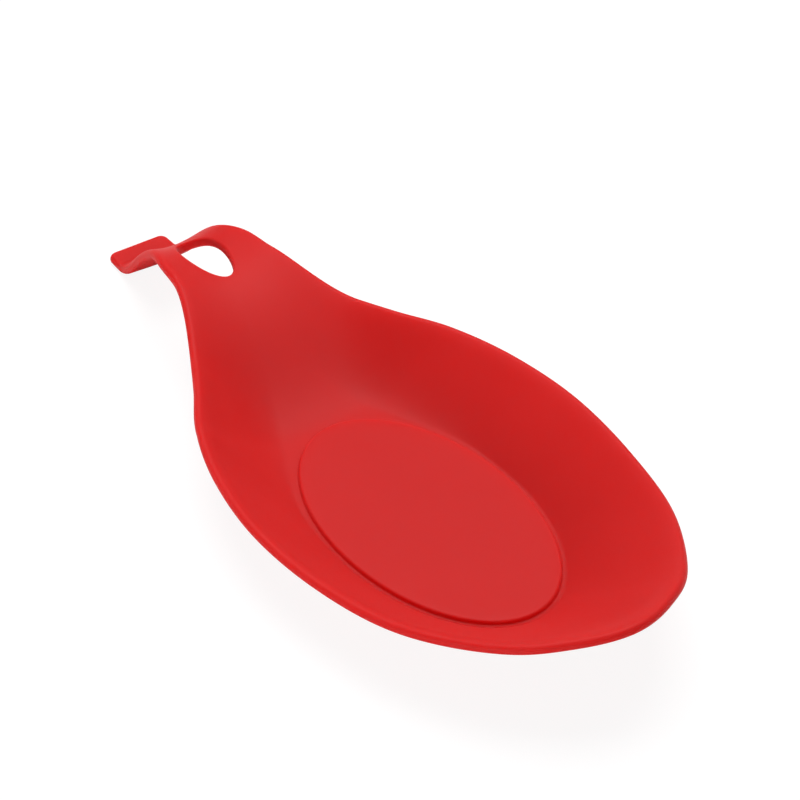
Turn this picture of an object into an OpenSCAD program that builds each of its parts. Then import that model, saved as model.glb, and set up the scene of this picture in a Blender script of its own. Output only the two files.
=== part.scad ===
// Spoon rest: one moulding in silicone rubber.
// An almond bowl with a rounded lip and a raised oval floor runs on into an arched neck,
// which holds the stem of the spoon, is pierced by a hanging hole and ends in a flat foot tab.
// The object lies along X with the tip of the bowl at +X, is alike on both sides of Y = 0,
// and stands on Z = 0 with its base and its foot tab.

/* [Overall] */
// Length from the tip of the bowl to the end of the foot tab
rest_l = 195; // [165:1:230]
// Width over the lip at the widest place of the bowl
bowl_w = 82.5; // [70:0.5:105]
// Distance from the tip of the bowl back to its widest place
tip_to_widest = 77.5; // [68:0.5:88]

/* [Lip] */
// Height of the lip beside the raised floor
side_h = 15.3; // [12:0.1:20]
// Height of the lip at the tip of the bowl
tip_h = 25; // [19:0.1:32]

/* [Wall] */
// Thickness of the moulding in the bowl, the neck and the tab
wall_t = 2.2; // [1.6:0.1:2.8]

/* [Raised floor] */
// Length of the raised oval
oval_l = 77; // [60:1:88]
// Width of the raised oval
oval_w = 44.6; // [34:0.2:54]
// Distance from the tip of the bowl to the front of the oval
tip_to_oval = 35; // [28:1:42]
// Height of the oval above the floor round it
oval_h = 1; // [0.5:0.1:1.6]
// Width of the rounding on the oval's top edge
oval_round = 0.4; // [0.2:0.1:0.5]

/* [Neck] */
// Distance from the end of the tab to the crest of the neck
end_to_crest = 40; // [35:0.5:46]
// Height of the neck's edges at the crest
crest_h = 20.4; // [17:0.1:26]
// Width of the neck at the crest
neck_w = 25.4; // [22:0.2:32]
// Depth of the channel for the spoon's stem at the crest
channel_d = 2; // [0.8:0.1:3]
// Length over which the lip climbs from the bowl's side to the crest
climb_l = 22; // [16:0.5:30]

/* [Foot tab] */
// Width of the foot tab
tab_w = 15.3; // [13:0.1:19]
// Length of the tab's flat
tab_l = 4.6; // [3.6:0.1:8]
// Radius of the tab's corners
tab_r = 2; // [1.4:0.1:3.5]

/* [Hanging hole] */
// Length of the hanging hole
hole_l = 19.8; // [14:0.2:22]
// Width of the hole at its end on the bowl's side
hole_bowl_w = 7; // [5:0.2:9]
// Width of the hole at its end on the tab's side
hole_tab_w = 10.2; // [7:0.2:11]
// How far the hole reaches from the crest towards the bowl
hole_ahead = 1.2; // [0:0.2:5]

/* [Hidden] */

// How far a cut runs past the surface that it opens
overrun = 1;
// How deep the raised oval is rooted in the floor
root_d = 0.5;

// Places along X, measured from the middle of the length
tip_x = rest_l / 2;
end_x = -rest_l / 2;
widest_x = tip_x - tip_to_widest;
crest_x = end_x + end_to_crest;
tab_x = end_x + tab_l;
oval_x = tip_x - tip_to_oval - oval_l / 2;
oval_rear_x = oval_x - oval_l / 2;
climb_x = crest_x + climb_l;

// Heights of the upper face on the centre line
floor_z = wall_t;
crest_z = crest_h - channel_d;
lip_r = wall_t / 2;

// Points of one side that two smooth curves run through, the outline and the foot of the wall.
// A rib joins the two at each point.
// Bowl from the tip to the widest place: X share and half width share of the outline,
// and the angle round the oval of the wall's foot, as a share of half a turn
front_shares = [[1, 0, 0], [0.926, 0.34, 0.13], [0.804, 0.58, 0.24],
                [0.561, 0.83, 0.34], [0.277, 0.958, 0.43], [0, 1, 0.505]];
// Bowl and neck from the widest place to the crest: X share and half width share of the
// outline, X share of the wall's foot, and its half width as a share of the oval's
rear_shares = [[0.253, 0.906, 0.145, 0.98], [0.462, 0.715, 0.295, 0.84],
               [0.627, 0.455, 0.452, 0.64], [0.765, 0.256, 0.62, 0.45],
               [0.893, 0.1, 0.807, 0.29], [1, 0, 0.982, 0.2]];
// Neck from the crest to the foot tab, in the same order
neck_shares = [[0.23, 0.75, 0.23, 0.16], [0.47, 0.44, 0.47, 0.13],
               [0.72, 0.25, 0.72, 0.11], [1, 0.02, 1, 0.09]];
// Width of the level floor between the oval and the foot of the wall, at the front and sides
floor_ring = 0.6;

// Curve of the lip along the front of the bowl, as a power
tip_power = 2.8;
// Fullness of the fall from the crest to the tab, as a power
fall_power = 1.85;
// Curve of the bowl's wall, as a power, and the share of the rib at which the lip flares out
wall_power = 1.5;
flare_share = 0.88;
// Steepness of the flare at the lip, as a share of the wall's
flare_end_share = 0.6;

// Steps of each rib from its start to the lip
rib_shares = [0, 0.07, 0.17, 0.29, 0.42, 0.55, 0.68, 0.79, 0.88, 0.94, 1];
// Ribs between two points of the outline
ribs_each = 4;
// Steps round the lip, round a corner of the tab, along the tab's end, round the oval and
// round each end of the hole
lip_steps = 4;
corner_steps = 3;
end_steps = 2;
oval_steps = 72;
hole_steps = 48;

// Smooth rise from 0 to 1
function ease(t) = let (c = min(max(t, 0), 1)) c * c * (3 - 2 * c);

// A value between two, at a share of the way
function between(a, b, share) = a + (b - a) * share;

// Smooth curve through b and c, between its neighbours a and d
function smooth(a, b, c, d, t) =
    (2 * b + (c - a) * t + (2 * a - 5 * b + 4 * c - d) * t * t
    + (3 * b - a - 3 * c + d) * t * t * t) / 2;

// Height of the upper face on the centre line
function centre_z(x) =
    x > crest_x
    ? between(floor_z, crest_z, ease((oval_rear_x - x) / (oval_rear_x - crest_x)))
    : between(crest_z, wall_t, ease(pow(max(crest_x - x, 0) / (crest_x - tab_x), fall_power)));

// Height of the lip's top
function lip_z(x) =
    x > widest_x
    ? between(side_h, tip_h, pow((x - widest_x) / tip_to_widest, tip_power))
    : x > crest_x
    ? between(side_h, crest_h, ease((climb_x - x) / climb_l))
    : between(crest_h, wall_t, ease(pow((crest_x - x) / (crest_x - tab_x), fall_power)));

// Rise of the wall from the floor, 0, to the lip, 1: a fillet, the wall and the flare
flare_len = 1 - flare_share;
flare_low = pow(flare_share, wall_power);
flare_slope = wall_power * pow(flare_share, wall_power - 1);
wall_total = flare_low + flare_slope * flare_len * (1 + flare_end_share) / 2;
lip_slope = flare_slope * flare_end_share / wall_total;
function wall_rise(v) =
    let (d = max(v - flare_share, 0))
    (pow(min(v, flare_share), wall_power)
    + flare_slope * (d - (1 - flare_end_share) * d * d / (2 * flare_len))) / wall_total;

// Points of the outline and of the wall's foot, from the tip to the tab: X and half width of each
half_w = bowl_w / 2;
half_neck = neck_w / 2;
half_tab = tab_w / 2;
outline = concat(
    [for (s = front_shares)
        [between(widest_x, tip_x, s[0]), half_w * s[1],
        oval_x + (oval_l / 2 + floor_ring) * cos(180 * s[2]),
        (oval_w / 2 + floor_ring) * sin(180 * s[2])]],
    [for (s = rear_shares)
        [between(widest_x, crest_x, s[0]), between(half_neck, half_w, s[1]),
        between(widest_x, crest_x, s[2]), oval_w / 2 * s[3]]],
    [for (s = neck_shares)
        [between(crest_x, tab_x, s[0]), between(half_tab, half_neck, s[1]),
        between(crest_x, tab_x, s[2]), oval_w / 2 * s[3]]]);
last = len(outline) - 1;
mirrored_first = [outline[1][0], -outline[1][1], outline[1][2], -outline[1][3]];
beyond_last = 2 * outline[last] - outline[last - 1];

// Outer end of each rib and its foot
curve_ends = [for (i = [0 : last - 1], k = [0 : ribs_each - 1])
    smooth(i == 0 ? mirrored_first : outline[i - 1], outline[i], outline[i + 1],
        i == last - 1 ? beyond_last : outline[i + 2], k / ribs_each)];
tab_steps = 1 + corner_steps + end_steps;
tab_inner_x = between(tab_x, end_x, 0.5);
function tab_foot(k) = let (s = (k + 1) / tab_steps)
    [between(tab_x, tab_inner_x, s), between(outline[last][3], 0, s)];
corner_ends = [for (k = [0 : corner_steps])
    let (a = 90 * k / corner_steps)
    concat([end_x + tab_r * (1 - sin(a)), half_tab - tab_r * (1 - cos(a))], tab_foot(k))];
end_ends = [for (k = [1 : end_steps])
    concat([end_x, (half_tab - tab_r) * (1 - k / end_steps)], tab_foot(k + corner_steps))];
rib_ends = concat(curve_ends, [outline[last]], corner_ends, end_ends);
ribs = len(rib_ends);

// Direction of the outline and outward direction, both in plan, at the end of a rib
function along(i) =
    i == 0 ? [0, 1]
    : i == ribs - 1 ? [0, -1]
    : let (d = [rib_ends[i + 1][0] - rib_ends[i - 1][0], rib_ends[i + 1][1] - rib_ends[i - 1][1]])
      d / norm(d);
function outward(i) = let (d = along(i)) [d[1], -d[0], 0];

// A point of the upper face, at a share v of the rib i
function top_point(i, v) =
    let (e = rib_ends[i], o = outward(i), s = [e[2], e[3]],
        wall_h = lip_z(e[0]) - centre_z(e[0]),
        lean = atan(wall_h * lip_slope / norm([e[0], e[1]] - s)),
        inset = lip_r * (1 + sin(lean)),
        p = between(s, [e[0] - inset * o[0], e[1] - inset * o[1]], v),
        z = centre_z(p[0]) + wall_h * wall_rise(v))
    [p[0], i == ribs - 1 ? 0 : p[1], z];

// Points of the upper face along each rib, the first of them on the centre line
top = [for (i = [0 : ribs - 1]) concat(
    [[rib_ends[i][2], 0, centre_z(rib_ends[i][2])]],
    [for (v = rib_shares) top_point(i, v)])];
steps = len(top[0]);

// Mirror image of a point
function other_side(p) = [p[0], -p[1], p[2]];

// Upward normal of the upper face, from its neighbours
function unit(v) = norm(v) > 0 ? v / norm(v) : [0, 0, 1];
function normal(i, j) =
    let (before = i == 0 ? other_side(top[1][j]) : top[i - 1][j],
        after = i == ribs - 1 ? other_side(top[ribs - 2][j]) : top[i + 1][j],
        inner = top[i][max(j - 1, 0)], outer = top[i][min(j + 1, steps - 1)],
        n = unit(cross(outer - inner, after - before)))
    on_centre(i, j) ? unit([n[0], 0, n[2]]) : n;
function on_centre(i, j) = i == 0 || i == ribs - 1 || j == 0;

// A point of the underside. What would lie less than this share of the wall above the table
// reaches below it, to be cut flat.
table_share = 0.05;
function under_point(i, j) =
    let (p = top[i][j] - wall_t * normal(i, j))
    p[2] < wall_t * table_share ? [p[0], p[1], -overrun] : p;

// Points round the lip from the upper face to the underside
function lip_points(i) =
    let (n = normal(i, steps - 1), o = outward(i), e = unit(o - n * (o * n)),
        c = top[i][steps - 1] - lip_r * n)
    [for (k = [1 : lip_steps - 1])
        let (a = 180 * k / lip_steps) c + lip_r * (cos(a) * n + sin(a) * e)];

// Closed profile of each rib: upper face, lip and underside
profiles = [for (i = [0 : ribs - 1])
    concat(top[i], lip_points(i), [for (j = [steps - 1 : -1 : 0]) under_point(i, j)])];
columns = len(profiles[0]);

// Number of a point of the loft. Points on the centre line are shared by both sides, and the
// first and the last rib start there, so their first two points are one.
function first_two(i, j) = (i == 0 || i == ribs - 1) && min(j, columns - 1 - j) == 1;
function number(side, i, j) =
    first_two(i, j) ? i * columns + (j == 1 ? 0 : columns - 1)
    : side == 1 && !on_centre(i, min(j, columns - 1 - j)) ? (ribs + i) * columns + j
    : i * columns + j;

// The bowl, neck and tab as one thin shell
module shell() {
    points = concat([for (p = profiles, q = p) q], [for (p = profiles, q = p) other_side(q)]);
    near = [for (i = [0 : ribs - 2], j = [0 : columns - 2])
        let (a = number(0, i, j), b = number(0, i, j + 1),
            c = number(0, i + 1, j + 1), d = number(0, i + 1, j))
        each [[a, d, b], [b, d, c]]];
    far = [for (i = [0 : ribs - 2], j = [0 : columns - 2])
        let (a = number(1, i, j), b = number(1, i, j + 1),
            c = number(1, i + 1, j + 1), d = number(1, i + 1, j))
        each [[a, b, d], [b, c, d]]];
    real = [for (f = concat(near, far))
        if (f[0] != f[1] && f[1] != f[2] && f[0] != f[2]) f];
    polyhedron(points, real);
}

// One ring of the raised oval, drawn in by an inset, at a height
function oval_ring(inset, z) = [for (k = [0 : oval_steps - 1])
    let (a = 360 * k / oval_steps)
    [oval_x + (oval_l / 2 - inset) * cos(a), (oval_w / 2 - inset) * sin(a), z]];

// The raised oval with a rounded top edge
module raised_floor() {
    top_z = floor_z + oval_h;
    rings = [
        oval_ring(0, floor_z - root_d),
        oval_ring(0, top_z - oval_round),
        oval_ring(oval_round * (1 - cos(45)), top_z - oval_round * (1 - sin(45))),
        oval_ring(oval_round, top_z)];
    n = oval_steps;
    sides = [for (r = [0 : len(rings) - 2], k = [0 : n - 1])
        [r * n + k, (r + 1) * n + k, (r + 1) * n + (k + 1) % n, r * n + (k + 1) % n]];
    bottom = [[for (k = [0 : n - 1]) k]];
    cover = [[for (k = [n - 1 : -1 : 0]) (len(rings) - 1) * n + k]];
    polyhedron([for (r = rings, p = r) p], concat(sides, bottom, cover));
}

// The hanging hole: a round end toward the bowl, one toward the tab and their common tangents
module hanging_hole() {
    bowl_r = hole_bowl_w / 2;
    foot_r = hole_tab_w / 2;
    bowl_x = crest_x + hole_ahead - bowl_r;
    foot_x = crest_x + hole_ahead - hole_l + foot_r;
    lean = asin((bowl_r - foot_r) / (bowl_x - foot_x));
    translate([0, 0, -overrun])
        linear_extrude(crest_h + 2 * overrun) {
            translate([bowl_x, 0]) circle(bowl_r, $fn = hole_steps);
            translate([foot_x, 0]) circle(foot_r, $fn = hole_steps);
            polygon([
                [bowl_x - bowl_r * sin(lean), bowl_r * cos(lean)],
                [foot_x - foot_r * sin(lean), foot_r * cos(lean)],
                [foot_x - foot_r * sin(lean), -foot_r * cos(lean)],
                [bowl_x - bowl_r * sin(lean), -bowl_r * cos(lean)]]);
        }
}

// What lies below the table, which flattens the base and the foot
module below_table() {
    translate([end_x - overrun, -half_w - overrun, -2 * overrun])
        cube([rest_l + 2 * overrun, bowl_w + 2 * overrun, 2 * overrun]);
}

module spoon_rest() {
    color([0.83, 0.13, 0.13])
        difference() {
            union() {
                shell();
                raised_floor();
            }
            hanging_hole();
            below_table();
        }
}

spoon_rest();
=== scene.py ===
import math

import bmesh
import bpy
import numpy as np
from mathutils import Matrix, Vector


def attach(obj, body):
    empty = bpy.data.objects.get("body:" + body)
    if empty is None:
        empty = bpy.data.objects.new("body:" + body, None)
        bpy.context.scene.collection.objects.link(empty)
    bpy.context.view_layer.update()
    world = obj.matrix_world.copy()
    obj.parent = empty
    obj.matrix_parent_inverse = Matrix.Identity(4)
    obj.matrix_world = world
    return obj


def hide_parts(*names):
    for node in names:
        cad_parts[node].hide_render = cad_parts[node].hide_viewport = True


# Looks of a spoon rest that is one moulding in red silicone rubber.
# The mesh follows the solid's form with finer steps, a straighter bowl wall, an egg-shaped hole
# and the rounded edges of the real moulding.

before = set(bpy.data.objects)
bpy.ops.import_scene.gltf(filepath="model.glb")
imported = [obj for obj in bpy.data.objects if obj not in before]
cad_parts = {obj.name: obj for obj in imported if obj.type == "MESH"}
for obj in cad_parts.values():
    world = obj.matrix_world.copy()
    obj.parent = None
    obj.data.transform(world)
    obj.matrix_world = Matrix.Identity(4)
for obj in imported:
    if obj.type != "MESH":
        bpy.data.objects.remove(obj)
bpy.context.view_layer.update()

NODE = "spoon_rest"
BODY = "root"
MM = 0.001

# Overall sizes, in millimetres, in the solid's frame
REST_L = 195.0
BOWL_W = 82.5
TIP_TO_WIDEST = 77.5
SIDE_H = 15.3
TIP_H = 25.0
WALL_T = 2.2
LIP_R = WALL_T / 2

# Raised oval, with the radii of its top edge and of the crease at its foot
OVAL_L = 77.0
OVAL_W = 44.6
TIP_TO_OVAL = 35.0
OVAL_H = 1.0
OVAL_ROUND = 0.6
OVAL_FOOT_ROUND = 0.35

# Neck and foot tab
END_TO_CREST = 40.0
CREST_H = 20.4
NECK_W = 25.4
CHANNEL_D = 2.0
CLIMB_L = 22.0
TAB_W = 15.3
TAB_L = 4.6
TAB_R = 2.0

# Hanging hole, an egg with its blunt end toward the tab: distances from the crest, width,
# bluntness and the radius of its edges
HOLE_AHEAD = 1.7
HOLE_BEHIND = 17.8
HOLE_W = 9.1
HOLE_EGG = 0.15
HOLE_ROUND = 0.6

# Places along X
TIP_X = REST_L / 2
END_X = -REST_L / 2
WIDEST_X = TIP_X - TIP_TO_WIDEST
CREST_X = END_X + END_TO_CREST
TAB_X = END_X + TAB_L
TAB_INNER_X = (TAB_X + END_X) / 2
OVAL_X = TIP_X - TIP_TO_OVAL - OVAL_L / 2
OVAL_REAR_X = OVAL_X - OVAL_L / 2
CLIMB_X = CREST_X + CLIMB_L
FLOOR_Z = WALL_T
CREST_Z = CREST_H - CHANNEL_D

# Curves of the lip, the fall to the tab and the wall, as powers
TIP_POWER = 2.8
FALL_POWER = 1.85
BOWL_POWER = 1.0
NECK_POWER = 1.7
# Share of a rib at which the lip starts to flare, the flare's length, and its steepness at the
# lip as a share of the wall's
FLARE_SHARE = 0.88
FLARE_LEN = 1 - FLARE_SHARE
FLARE_END_SHARE = 0.6

# Points of one side for the outline and for the foot of the wall, which the ribs join.
# Front: X share, half width share and the foot's angle round the oval as a share of half a turn
FRONT_SHARES = [(1, 0, 0), (0.926, 0.354, 0.13), (0.804, 0.59, 0.24),
                (0.561, 0.838, 0.34), (0.277, 0.964, 0.43), (0, 1, 0.505)]
# Rear and neck: X share, half width share, X share of the foot, its half width over the oval's
REAR_SHARES = [(0.253, 0.906, 0.145, 0.97), (0.462, 0.715, 0.295, 0.79),
               (0.627, 0.455, 0.452, 0.52), (0.765, 0.256, 0.62, 0.29),
               (0.893, 0.1, 0.807, 0.13), (1, 0.008, 0.982, 0.06)]
NECK_SHARES = [(0.23, 0.81, 0.23, 0.04), (0.47, 0.44, 0.47, 0.03),
               (0.72, 0.25, 0.72, 0.03), (1, 0.02, 1, 0.03)]
# Width of the level floor between the oval and the foot of the wall, at the front and sides
FLOOR_RING = 0.6
# How round the outline runs through the tip, where 1 is the solid's own curve
TIP_FULLNESS = 1.25
# Where the mesh's ribs start round the oval, as shares of half a turn, one a span
OVAL_TURNS = (0, 0.13, 0.24, 0.34, 0.43, 0.505, 0.6, 0.735, 1)

# Fineness of the mesh: ribs of one side by stretch, and steps along a rib
OVAL_RIBS = 140
NECK_RIBS = 36
HOLE_RIBS = 56
FALL_RIBS = 24
TAB_RIBS = 30
WALL_STEPS = 44
LIP_STEPS = 14
EDGE_STEPS = 6
FLOOR_RINGS = 12

# Halvings of the search for the rib over a point, and steps for slopes, in u and in millimetres
SEARCH_STEPS = 44
SLOPE_U = 0.02
SLOPE_REACH = 0.05
# Distance at which points are joined, and the angle from which an edge is shaded sharp
JOIN_REACH = 0.001 * MM
SHARP_ANGLE = math.radians(50)


def between(a, b, share):
    """A value between two, at a share of the way."""
    return a + (b - a) * share


def ease(t):
    """Smooth rise from 0 to 1."""
    c = np.clip(t, 0, 1)
    return c * c * (3 - 2 * c)


def fall(x):
    """Share of the way down from the crest to the tab."""
    return ease((np.maximum(CREST_X - x, 0) / (CREST_X - TAB_X)) ** FALL_POWER)


def centre_z(x):
    """Height of the upper face on the centre line."""
    climb = ease((OVAL_REAR_X - x) / (OVAL_REAR_X - CREST_X))
    return np.where(x > CREST_X, between(FLOOR_Z, CREST_Z, climb),
                    between(CREST_Z, WALL_T, fall(x)))


def lip_z(x):
    """Height of the lip's top."""
    tip = np.maximum((x - WIDEST_X) / TIP_TO_WIDEST, 0) ** TIP_POWER
    climb = ease((CLIMB_X - x) / CLIMB_L)
    rear = np.where(x > CREST_X, between(SIDE_H, CREST_H, climb),
                    between(CREST_H, WALL_T, fall(x)))
    return np.where(x > WIDEST_X, between(SIDE_H, TIP_H, tip), rear)


def wall_power(x):
    """Curve of the wall on the rib that ends at x: nearly straight in the bowl, hollow in the neck."""
    return between(BOWL_POWER, NECK_POWER, ease((WIDEST_X - x) / (WIDEST_X - CREST_X)))


def wall_total(power):
    """Slope of the wall where it starts to flare, and the rise before it is scaled to 1."""
    slope = power * FLARE_SHARE ** (power - 1)
    return slope, FLARE_SHARE ** power + slope * FLARE_LEN * (1 + FLARE_END_SHARE) / 2


def wall_rise(v, power):
    """Rise of the wall from the floor, 0, to the lip, 1."""
    slope, total = wall_total(power)
    d = np.maximum(v - FLARE_SHARE, 0)
    low = np.clip(v, 0, FLARE_SHARE) ** power
    return (low + slope * (d - (1 - FLARE_END_SHARE) * d * d / (2 * FLARE_LEN))) / total


def outline_points():
    """X and half width of the outline and of the wall's foot, from the tip to the tab."""
    rows = [(between(WIDEST_X, TIP_X, s), BOWL_W / 2 * w,
             OVAL_X + (OVAL_L / 2 + FLOOR_RING) * math.cos(math.pi * turn),
             (OVAL_W / 2 + FLOOR_RING) * math.sin(math.pi * turn)) for s, w, turn in FRONT_SHARES]
    rows += [(between(WIDEST_X, CREST_X, s), between(NECK_W / 2, BOWL_W / 2, w),
              between(WIDEST_X, CREST_X, foot), OVAL_W / 2 * f) for s, w, foot, f in REAR_SHARES]
    rows += [(between(CREST_X, TAB_X, s), between(TAB_W / 2, NECK_W / 2, w),
              between(CREST_X, TAB_X, foot), OVAL_W / 2 * f) for s, w, foot, f in NECK_SHARES]
    return np.array(rows)


OUTLINE = outline_points()
KNOTS = np.vstack([OUTLINE[1] * (1, -TIP_FULLNESS, 1, -1), OUTLINE, 2 * OUTLINE[-1] - OUTLINE[-2]])
# The outline's parameter u counts one unit a span, then one each for the tab's side, corner and end
OVAL_U = len(OVAL_TURNS) - 1
SIDE_U = len(OUTLINE) - 1
CORNER_U = SIDE_U + 1
END_U = SIDE_U + 2
LAST_U = SIDE_U + 3
# Where the ribs that start on the rim of the hanging hole end on the outline
HOLE_FRONT_U = 10.0
HOLE_REAR_U = 13.7


def outline_at(u):
    """X and half width of the outline and of the wall's foot at u, as rows."""
    i = np.clip(np.floor(u).astype(int), 0, SIDE_U - 1)
    t = (np.minimum(u, SIDE_U) - i)[:, None]
    a, b, c, d = (KNOTS[i + k] for k in range(4))
    curve = (2 * b + (c - a) * t + (2 * a - 5 * b + 4 * c - d) * t ** 2
             + (3 * b - a - 3 * c + d) * t ** 3) / 2
    side = between(OUTLINE[-1][None, :2], np.array([[END_X + TAB_R, TAB_W / 2]]),
                   np.clip(u - SIDE_U, 0, 1)[:, None])
    turn = np.pi / 2 * np.clip(u - CORNER_U, 0, 1)
    corner = np.stack([END_X + TAB_R * (1 - np.sin(turn)),
                       TAB_W / 2 - TAB_R * (1 - np.cos(turn))], axis=1)
    end = np.stack([0 * u + END_X, (TAB_W / 2 - TAB_R) * (LAST_U - u)], axis=1)
    tab = np.where((u < CORNER_U)[:, None], side, np.where((u < END_U)[:, None], corner, end))
    share = np.clip((u - SIDE_U) / (LAST_U - SIDE_U), 0, 1)
    foot_x = between(TAB_X, TAB_INNER_X, share)
    foot_y = between(OUTLINE[-1][3], 0, share)
    return np.where((u < SIDE_U)[:, None], curve, np.column_stack([tab, foot_x, foot_y]))


def outward(u):
    """Outward direction of the outline in plan."""
    d = (outline_at(u + SLOPE_U) - outline_at(u - SLOPE_U))[:, :2]
    d[u >= END_U] = (0, -1)
    d[u <= 0] = (0, 1)
    d /= np.linalg.norm(d, axis=1, keepdims=True)
    return np.stack([d[:, 1], -d[:, 0]], axis=1)


def rib(u):
    """Foot and rim point of the rib at u, in plan, its lip's height over its floor, its curve."""
    e = outline_at(u)
    start = e[:, 2:]
    wall_h = lip_z(e[:, 0]) - centre_z(e[:, 0])
    power = wall_power(e[:, 0])
    slope, total = wall_total(power)
    lip_slope = slope * FLARE_END_SHARE / total
    lean = np.arctan(wall_h * lip_slope / np.linalg.norm(e[:, :2] - start, axis=1))
    rim = e[:, :2] - (LIP_R * (1 + np.sin(lean)))[:, None] * outward(u)
    return start, rim, wall_h, power


def height(p):
    """Height of the upper face over the points p in plan, y at least 0, without the oval."""
    low, high = np.zeros(len(p)), np.full(len(p), float(LAST_U))
    for _ in range(SEARCH_STEPS):
        middle = (low + high) / 2
        start, rim = rib(middle)[:2]
        way, to = rim - start, p - start
        ahead = way[:, 0] * to[:, 1] - way[:, 1] * to[:, 0] > 0
        low, high = np.where(ahead, middle, low), np.where(ahead, high, middle)
    start, rim, wall_h, power = rib((low + high) / 2)
    way = rim - start
    v = np.sum((p - start) * way, axis=1) / np.sum(way * way, axis=1)
    return centre_z(p[:, 0]) + wall_h * wall_rise(np.maximum(v, 0), power)


def surface(p):
    """Points of the upper face over the points p in plan, and its upward normals."""
    def height_at(dx, dy):
        return height(np.stack([p[:, 0] + dx, np.abs(p[:, 1] + dy)], axis=1))

    slope_x = (height_at(SLOPE_REACH, 0) - height_at(-SLOPE_REACH, 0)) / (2 * SLOPE_REACH)
    slope_y = (height_at(0, SLOPE_REACH) - height_at(0, -SLOPE_REACH)) / (2 * SLOPE_REACH)
    n = np.stack([-slope_x, -slope_y, 0 * slope_x + 1], axis=1)
    return np.column_stack([p, height_at(0, 0)]), n / np.linalg.norm(n, axis=1, keepdims=True)


def underside(points, normals, turned):
    """Points of the lower face: straight under the points where turned is 0, square to them at 1."""
    down = np.zeros_like(normals)
    down[:, 2] = 1 / normals[:, 2]
    away = between(down, normals, turned[:, None])
    lower = points - WALL_T * away
    lower[:, 2] = np.maximum(lower[:, 2], 0)
    return lower


def hole_outline(share, offset):
    """Points of half the hanging hole's outline, from its front to its rear, moved out by offset."""
    middle = CREST_X + (HOLE_AHEAD - HOLE_BEHIND) / 2
    half_l, half_w = (HOLE_AHEAD + HOLE_BEHIND) / 2, HOLE_W / 2
    c, s = np.cos(np.pi * share), np.sin(np.pi * share)
    edge = np.stack([middle + half_l * c, half_w * s * (1 - HOLE_EGG * c)], axis=1)
    out = np.stack([half_w * (c + HOLE_EGG * (s * s - c * c)), half_l * s], axis=1)
    edge += offset * out / np.linalg.norm(out, axis=1, keepdims=True)
    edge[(share <= 0) | (share >= 1), 1] = 0
    return edge


def rib_places():
    """Values of u for the ribs of one side."""
    marks = [0, OVAL_U, HOLE_FRONT_U, HOLE_REAR_U, SIDE_U, LAST_U]
    counts = [OVAL_RIBS, NECK_RIBS, HOLE_RIBS, FALL_RIBS, TAB_RIBS]
    parts = [np.linspace(a, b, n, endpoint=False) for a, b, n in zip(marks, marks[1:], counts)]
    return np.concatenate([*parts, [LAST_U]])


def oval_angle(u):
    """Angle round the oval of the mesh's rib at u."""
    return np.pi * np.interp(u, range(OVAL_U + 1), OVAL_TURNS)


def mesh_start(u):
    """Start of a rib of the mesh, in plan: round the oval, then on the centre line and the hole."""
    along_hole = np.clip((u - HOLE_FRONT_U) / (HOLE_REAR_U - HOLE_FRONT_U), 0, 1)
    hole = hole_outline(along_hole, HOLE_ROUND)
    ends = hole_outline(np.array([0.0, 1.0]), HOLE_ROUND)[:, 0]
    line_x = np.interp(u, [OVAL_U, HOLE_FRONT_U, HOLE_REAR_U, SIDE_U, LAST_U],
                       [OVAL_REAR_X, ends[0], ends[1], TAB_X, TAB_INNER_X])
    line = np.stack([line_x, 0 * u], axis=1)
    oval = oval_ring(oval_angle(u), 0, 0)[:, :2]
    in_hole = (u >= HOLE_FRONT_U) & (u <= HOLE_REAR_U)
    return np.where((u < OVAL_U)[:, None], oval, np.where(in_hole[:, None], hole, line))


def shell_sheets():
    """Upper face, lip and lower face of one side, as grids of points."""
    u = rib_places()
    start = mesh_start(u)
    rim = rib(u)[1]
    rim[(u <= 0) | (u >= LAST_U), 1] = 0
    share = np.linspace(0, 1, WALL_STEPS + 1)
    plan = between(start[:, None], rim[:, None], share[None, :, None])
    points, normals = surface(plan.reshape(-1, 2))
    turned = np.tile(ease(share), len(u))
    lower = underside(points, normals, turned)
    grid = (len(u), WALL_STEPS + 1, 3)
    points, normals, lower = points.reshape(grid), normals.reshape(grid), lower.reshape(grid)

    top, n = points[:, -1], normals[:, -1]
    out = np.column_stack([outward(u), 0 * u])
    edge = out - n * np.sum(out * n, axis=1, keepdims=True)
    edge /= np.linalg.norm(edge, axis=1, keepdims=True)
    angles = np.linspace(0, np.pi, LIP_STEPS + 1)
    lip = np.stack([top - LIP_R * n + LIP_R * (math.cos(a) * n + math.sin(a) * edge)
                    for a in angles], axis=1)
    lip[(u <= 0) | (u >= LAST_U), :, 1] = 0
    lip[:, :, 2] = np.maximum(lip[:, :, 2], 0)
    lip[:, 0], lip[:, -1] = top, lower[:, -1]
    return [points, lip, lower]


def hole_sheet():
    """Rounded edges and wall of the hanging hole, one side."""
    share = np.linspace(0, 1, HOLE_RIBS + 1)
    rim, rim_n = surface(hole_outline(share, HOLE_ROUND))
    corner, corner_n = surface(hole_outline(share, 0))
    straight = np.zeros(len(share))
    low_rim = underside(rim, rim_n, straight)
    low_corner = underside(corner, corner_n, straight)
    rows = []
    for face, meet, side in ((rim, corner, -1), (low_rim, low_corner, 1)):
        wall = meet + (0, 0, side * HOLE_ROUND)
        t = np.linspace(0, 1, EDGE_STEPS + 1)[None, :, None]
        bend = ((1 - t) ** 2 * face[:, None] + 2 * t * (1 - t) * meet[:, None]
                + t ** 2 * wall[:, None])
        rows.append(bend if side < 0 else bend[:, ::-1])
    return np.concatenate(rows, axis=1)


def oval_ring(angle, inset, z):
    """Points of half an oval at height z, inset from the outline of the raised one."""
    y = (OVAL_W / 2 - inset) * np.sin(angle)
    y[(angle <= 0) | (angle >= np.pi)] = 0
    return np.stack([OVAL_X + (OVAL_L / 2 - inset) * np.cos(angle), y, 0 * angle + z], axis=1)


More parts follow.
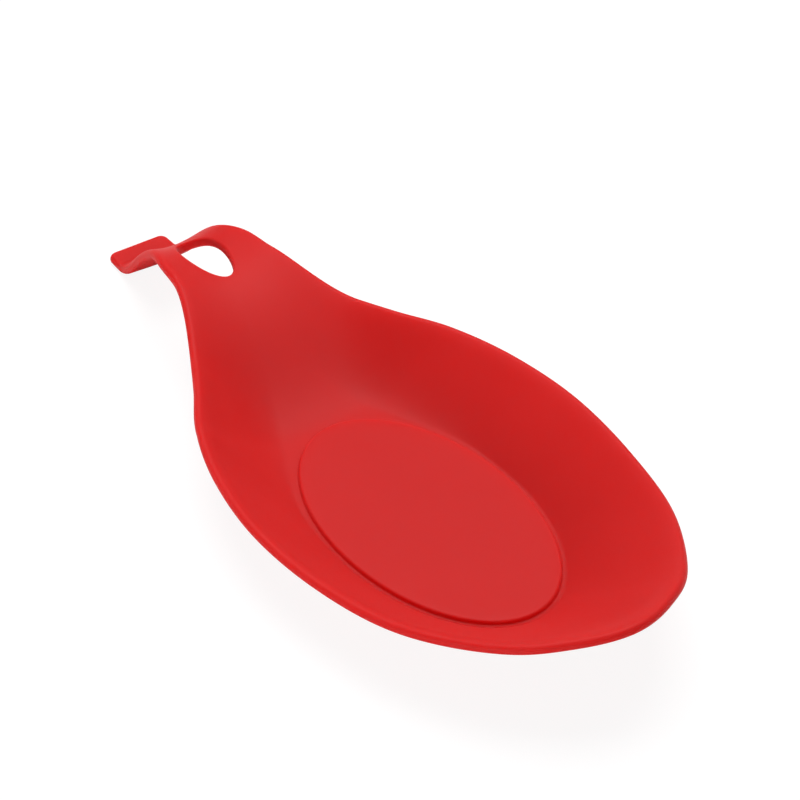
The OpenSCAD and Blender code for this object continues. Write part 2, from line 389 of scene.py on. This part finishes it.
def floor_sheets():
    """Raised oval with its foot and its rounded edge, and the base below, one side."""
    u = rib_places()
    u = u[u <= OVAL_U]
    angle = oval_angle(u)
    quarter = np.linspace(0, np.pi / 2, EDGE_STEPS)
    foot = [(OVAL_FOOT_ROUND * math.sin(a), OVAL_FOOT_ROUND * (1 - math.cos(a)))
            for a in quarter]
    edge = [(OVAL_FOOT_ROUND + OVAL_ROUND * (1 - math.cos(a)),
             OVAL_H - OVAL_ROUND * (1 - math.sin(a))) for a in quarter]
    rings = [oval_ring(angle, inset, FLOOR_Z + z) for inset, z in foot + edge]
    hub = np.array([OVAL_X, 0, FLOOR_Z + OVAL_H])
    rings += [between(rings[-1], hub, s) for s in np.linspace(0, 1, FLOOR_RINGS + 1)[1:]]
    base = oval_ring(angle, 0, 0)
    base_hub = np.array([OVAL_X, 0, 0])
    below = [between(base, base_hub, s) for s in np.linspace(0, 1, FLOOR_RINGS + 1)]
    return [np.stack(rings, axis=1), np.stack(below, axis=1)]


def both_sides(sheets):
    """Vertices and faces of the sheets and their mirror images."""
    vertices, faces, count = [], [], 0
    for sheet in sheets:
        rows, columns = sheet.shape[:2]
        number = np.arange(rows * columns).reshape(rows, columns)
        quads = np.stack([number[:-1, :-1], number[:-1, 1:], number[1:, 1:], number[1:, :-1]],
                         axis=-1).reshape(-1, 4)
        for side in (1, -1):
            vertices.append(sheet.reshape(-1, 3) * (1, side, 1))
            faces.append((quads if side > 0 else quads[:, ::-1]) + count)
            count += rows * columns
    return np.concatenate(vertices) * MM, np.concatenate(faces)


def make_piece():
    """The whole moulding as one closed mesh."""
    vertices, faces = both_sides([*shell_sheets(), hole_sheet(), *floor_sheets()])
    mesh = bpy.data.meshes.new("moulding")
    mesh.from_pydata(vertices.tolist(), [], faces.tolist())
    work = bmesh.new()
    work.from_mesh(mesh)
    bmesh.ops.remove_doubles(work, verts=work.verts, dist=JOIN_REACH)
    bmesh.ops.dissolve_degenerate(work, edges=work.edges, dist=JOIN_REACH)
    bmesh.ops.recalc_face_normals(work, faces=work.faces)
    work.to_mesh(mesh)
    work.free()
    mesh.shade_smooth()
    mesh.set_sharp_from_angle(angle=SHARP_ANGLE)
    piece = bpy.data.objects.new("moulding", mesh)
    bpy.context.scene.collection.objects.link(piece)
    return piece


# Silicone: colour, its slow variation and the fine grain of the mould
RED = (0.70, 0.020, 0.019)
RED_DEEP = (0.66, 0.017, 0.016)
BLOTCH_SIZE = 30 * MM
GRAIN_SIZE = 0.35 * MM
GRAIN_DEPTH = 0.012 * MM
ROUGHNESS = 0.5
ROUGHNESS_SPREAD = 0.05
# How much of the light enters the rubber, how far it travels, and the share of that by colour
GLOW_SHARE = 0.85
GLOW_DEPTH = 4 * MM
GLOW_REACH = (1.0, 0.15, 0.12)
# Faint gloss, and the dusty sheen of silicone
GLOSS = 0.12
SHEEN = 0.04
SHEEN_ROUGHNESS = 0.5
SHEEN_TINT = (1.0, 0.55, 0.55)


def silicone():
    """Satin red silicone with slow blotches, fine grain and some light passing through."""
    material = bpy.data.materials.new("red_silicone")
    material.use_nodes = True
    nodes, links = material.node_tree.nodes, material.node_tree.links
    shader = nodes["Principled BSDF"]
    place = nodes.new("ShaderNodeTexCoord")

    def noise(size, detail):
        node = nodes.new("ShaderNodeTexNoise")
        node.inputs["Scale"].default_value = 1 / size
        node.inputs["Detail"].default_value = detail
        links.new(place.outputs["Object"], node.inputs["Vector"])
        return node

    blotches = noise(BLOTCH_SIZE, detail=3)
    tint = nodes.new("ShaderNodeMix")
    tint.data_type = "RGBA"
    tint.inputs["A"].default_value = (*RED_DEEP, 1)
    tint.inputs["B"].default_value = (*RED, 1)
    links.new(blotches.outputs["Fac"], tint.inputs["Factor"])
    links.new(tint.outputs["Result"], shader.inputs["Base Color"])

    grain = noise(GRAIN_SIZE, detail=4)
    satin = nodes.new("ShaderNodeMapRange")
    satin.inputs["To Min"].default_value = ROUGHNESS - ROUGHNESS_SPREAD
    satin.inputs["To Max"].default_value = ROUGHNESS + ROUGHNESS_SPREAD
    links.new(grain.outputs["Fac"], satin.inputs["Value"])
    links.new(satin.outputs["Result"], shader.inputs["Roughness"])

    bump = nodes.new("ShaderNodeBump")
    bump.inputs["Distance"].default_value = GRAIN_DEPTH
    links.new(grain.outputs["Fac"], bump.inputs["Height"])
    links.new(bump.outputs["Normal"], shader.inputs["Normal"])

    shader.inputs["Subsurface Weight"].default_value = GLOW_SHARE
    shader.inputs["Subsurface Radius"].default_value = GLOW_REACH
    shader.inputs["Subsurface Scale"].default_value = GLOW_DEPTH
    shader.inputs["Specular IOR Level"].default_value = GLOSS
    shader.inputs["Sheen Weight"].default_value = SHEEN
    shader.inputs["Sheen Roughness"].default_value = SHEEN_ROUGHNESS
    shader.inputs["Sheen Tint"].default_value = (*SHEEN_TINT, 1)
    return material


# Camera at the photograph's viewing angle: direction, target and distance, focal length in
# millimetres, and the nearest and furthest it shows in metres
VIEW_AZIMUTH = math.radians(56.31)
VIEW_ELEVATION = math.radians(37.874)
VIEW_TARGET = Vector((-5.713, 12.526, 10.0)) * MM
VIEW_DISTANCE = 918 * MM
LENS = 189.86
NEAR_CLIP = 0.01
FAR_CLIP = 20

# Floor: its paint, and its glow to the camera, past white so that only the shadow shows on it
FLOOR_GREY = (0.9, 0.9, 0.9)
FLOOR_ROUGHNESS = 0.9
FLOOR_WHITE = 1.1


def toward(azimuth, elevation):
    """Direction from the object to a place round it."""
    return Vector((math.sin(azimuth) * math.cos(elevation),
                   -math.cos(azimuth) * math.cos(elevation), math.sin(elevation)))


def make_camera():
    """The photograph's view."""
    data = bpy.data.cameras.new("camera")
    data.lens = LENS
    data.clip_start, data.clip_end = NEAR_CLIP, FAR_CLIP
    camera = bpy.data.objects.new("camera", data)
    back = toward(VIEW_AZIMUTH, VIEW_ELEVATION)
    camera.location = VIEW_TARGET + back * VIEW_DISTANCE
    camera.rotation_mode = "QUATERNION"
    camera.rotation_quaternion = (-back).to_track_quat("-Z", "Y")
    bpy.context.scene.collection.objects.link(camera)
    bpy.context.scene.camera = camera


def make_lamp(name, azimuth, elevation, distance, width, height, power):
    """A soft box aimed at the object."""
    data = bpy.data.lights.new(name, "AREA")
    data.shape = "RECTANGLE"
    data.size, data.size_y = width, height
    data.energy = power
    lamp = bpy.data.objects.new(name, data)
    way = toward(math.radians(azimuth), math.radians(elevation))
    lamp.location = way * distance
    lamp.rotation_mode = "QUATERNION"
    lamp.rotation_quaternion = way.to_track_quat("Z", "Y")
    bpy.context.scene.collection.objects.link(lamp)


def make_world(level):
    """Even fill light, shown as white."""
    world = bpy.data.worlds.new("studio")
    world.use_nodes = True
    nodes, links = world.node_tree.nodes, world.node_tree.links
    background = nodes["Background"]
    background.inputs["Color"].default_value = (1, 1, 1, 1)
    ray = nodes.new("ShaderNodeLightPath")
    strength = nodes.new("ShaderNodeMix")
    strength.inputs["A"].default_value = level
    strength.inputs["B"].default_value = 1.0
    links.new(ray.outputs["Is Camera Ray"], strength.inputs["Factor"])
    links.new(strength.outputs["Result"], background.inputs["Strength"])
    bpy.context.scene.world = world


def make_floor(half, shadow_share):
    """A white floor that keeps the object's shadow."""
    mesh = bpy.data.meshes.new("floor")
    corners = [(-half, -half, 0), (half, -half, 0), (half, half, 0), (-half, half, 0)]
    mesh.from_pydata(corners, [], [(0, 1, 2, 3)])
    floor = bpy.data.objects.new("floor", mesh)
    bpy.context.scene.collection.objects.link(floor)
    material = bpy.data.materials.new("white_floor")
    material.use_nodes = True
    nodes, links = material.node_tree.nodes, material.node_tree.links
    paint = nodes["Principled BSDF"]
    paint.inputs["Base Color"].default_value = (*FLOOR_GREY, 1)
    paint.inputs["Roughness"].default_value = FLOOR_ROUGHNESS
    paint.inputs["Specular IOR Level"].default_value = 0.0
    white = nodes.new("ShaderNodeEmission")
    white.inputs["Strength"].default_value = FLOOR_WHITE
    ray = nodes.new("ShaderNodeLightPath")
    share = nodes.new("ShaderNodeMath")
    share.operation = "MULTIPLY"
    share.inputs[1].default_value = 1 - shadow_share
    links.new(ray.outputs["Is Camera Ray"], share.inputs[0])
    mix = nodes.new("ShaderNodeMixShader")
    links.new(share.outputs[0], mix.inputs["Fac"])
    links.new(paint.outputs["BSDF"], mix.inputs[1])
    links.new(white.outputs["Emission"], mix.inputs[2])
    links.new(mix.outputs["Shader"], nodes["Material Output"].inputs["Surface"])
    mesh.materials.append(material)


moulding = make_piece()
moulding.data.materials.append(silicone())
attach(moulding, BODY)
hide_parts(NODE)

make_camera()
make_world(level=0.16)
make_lamp("overhead", azimuth=237, elevation=70, distance=1.2, width=1.0, height=1.0, power=13.9)
make_lamp("front", azimuth=25, elevation=5, distance=1.0, width=0.9, height=0.22, power=3.8)
make_floor(half=4.0, shadow_share=0.18)
bpy.context.scene.view_settings.view_transform = "Standard"
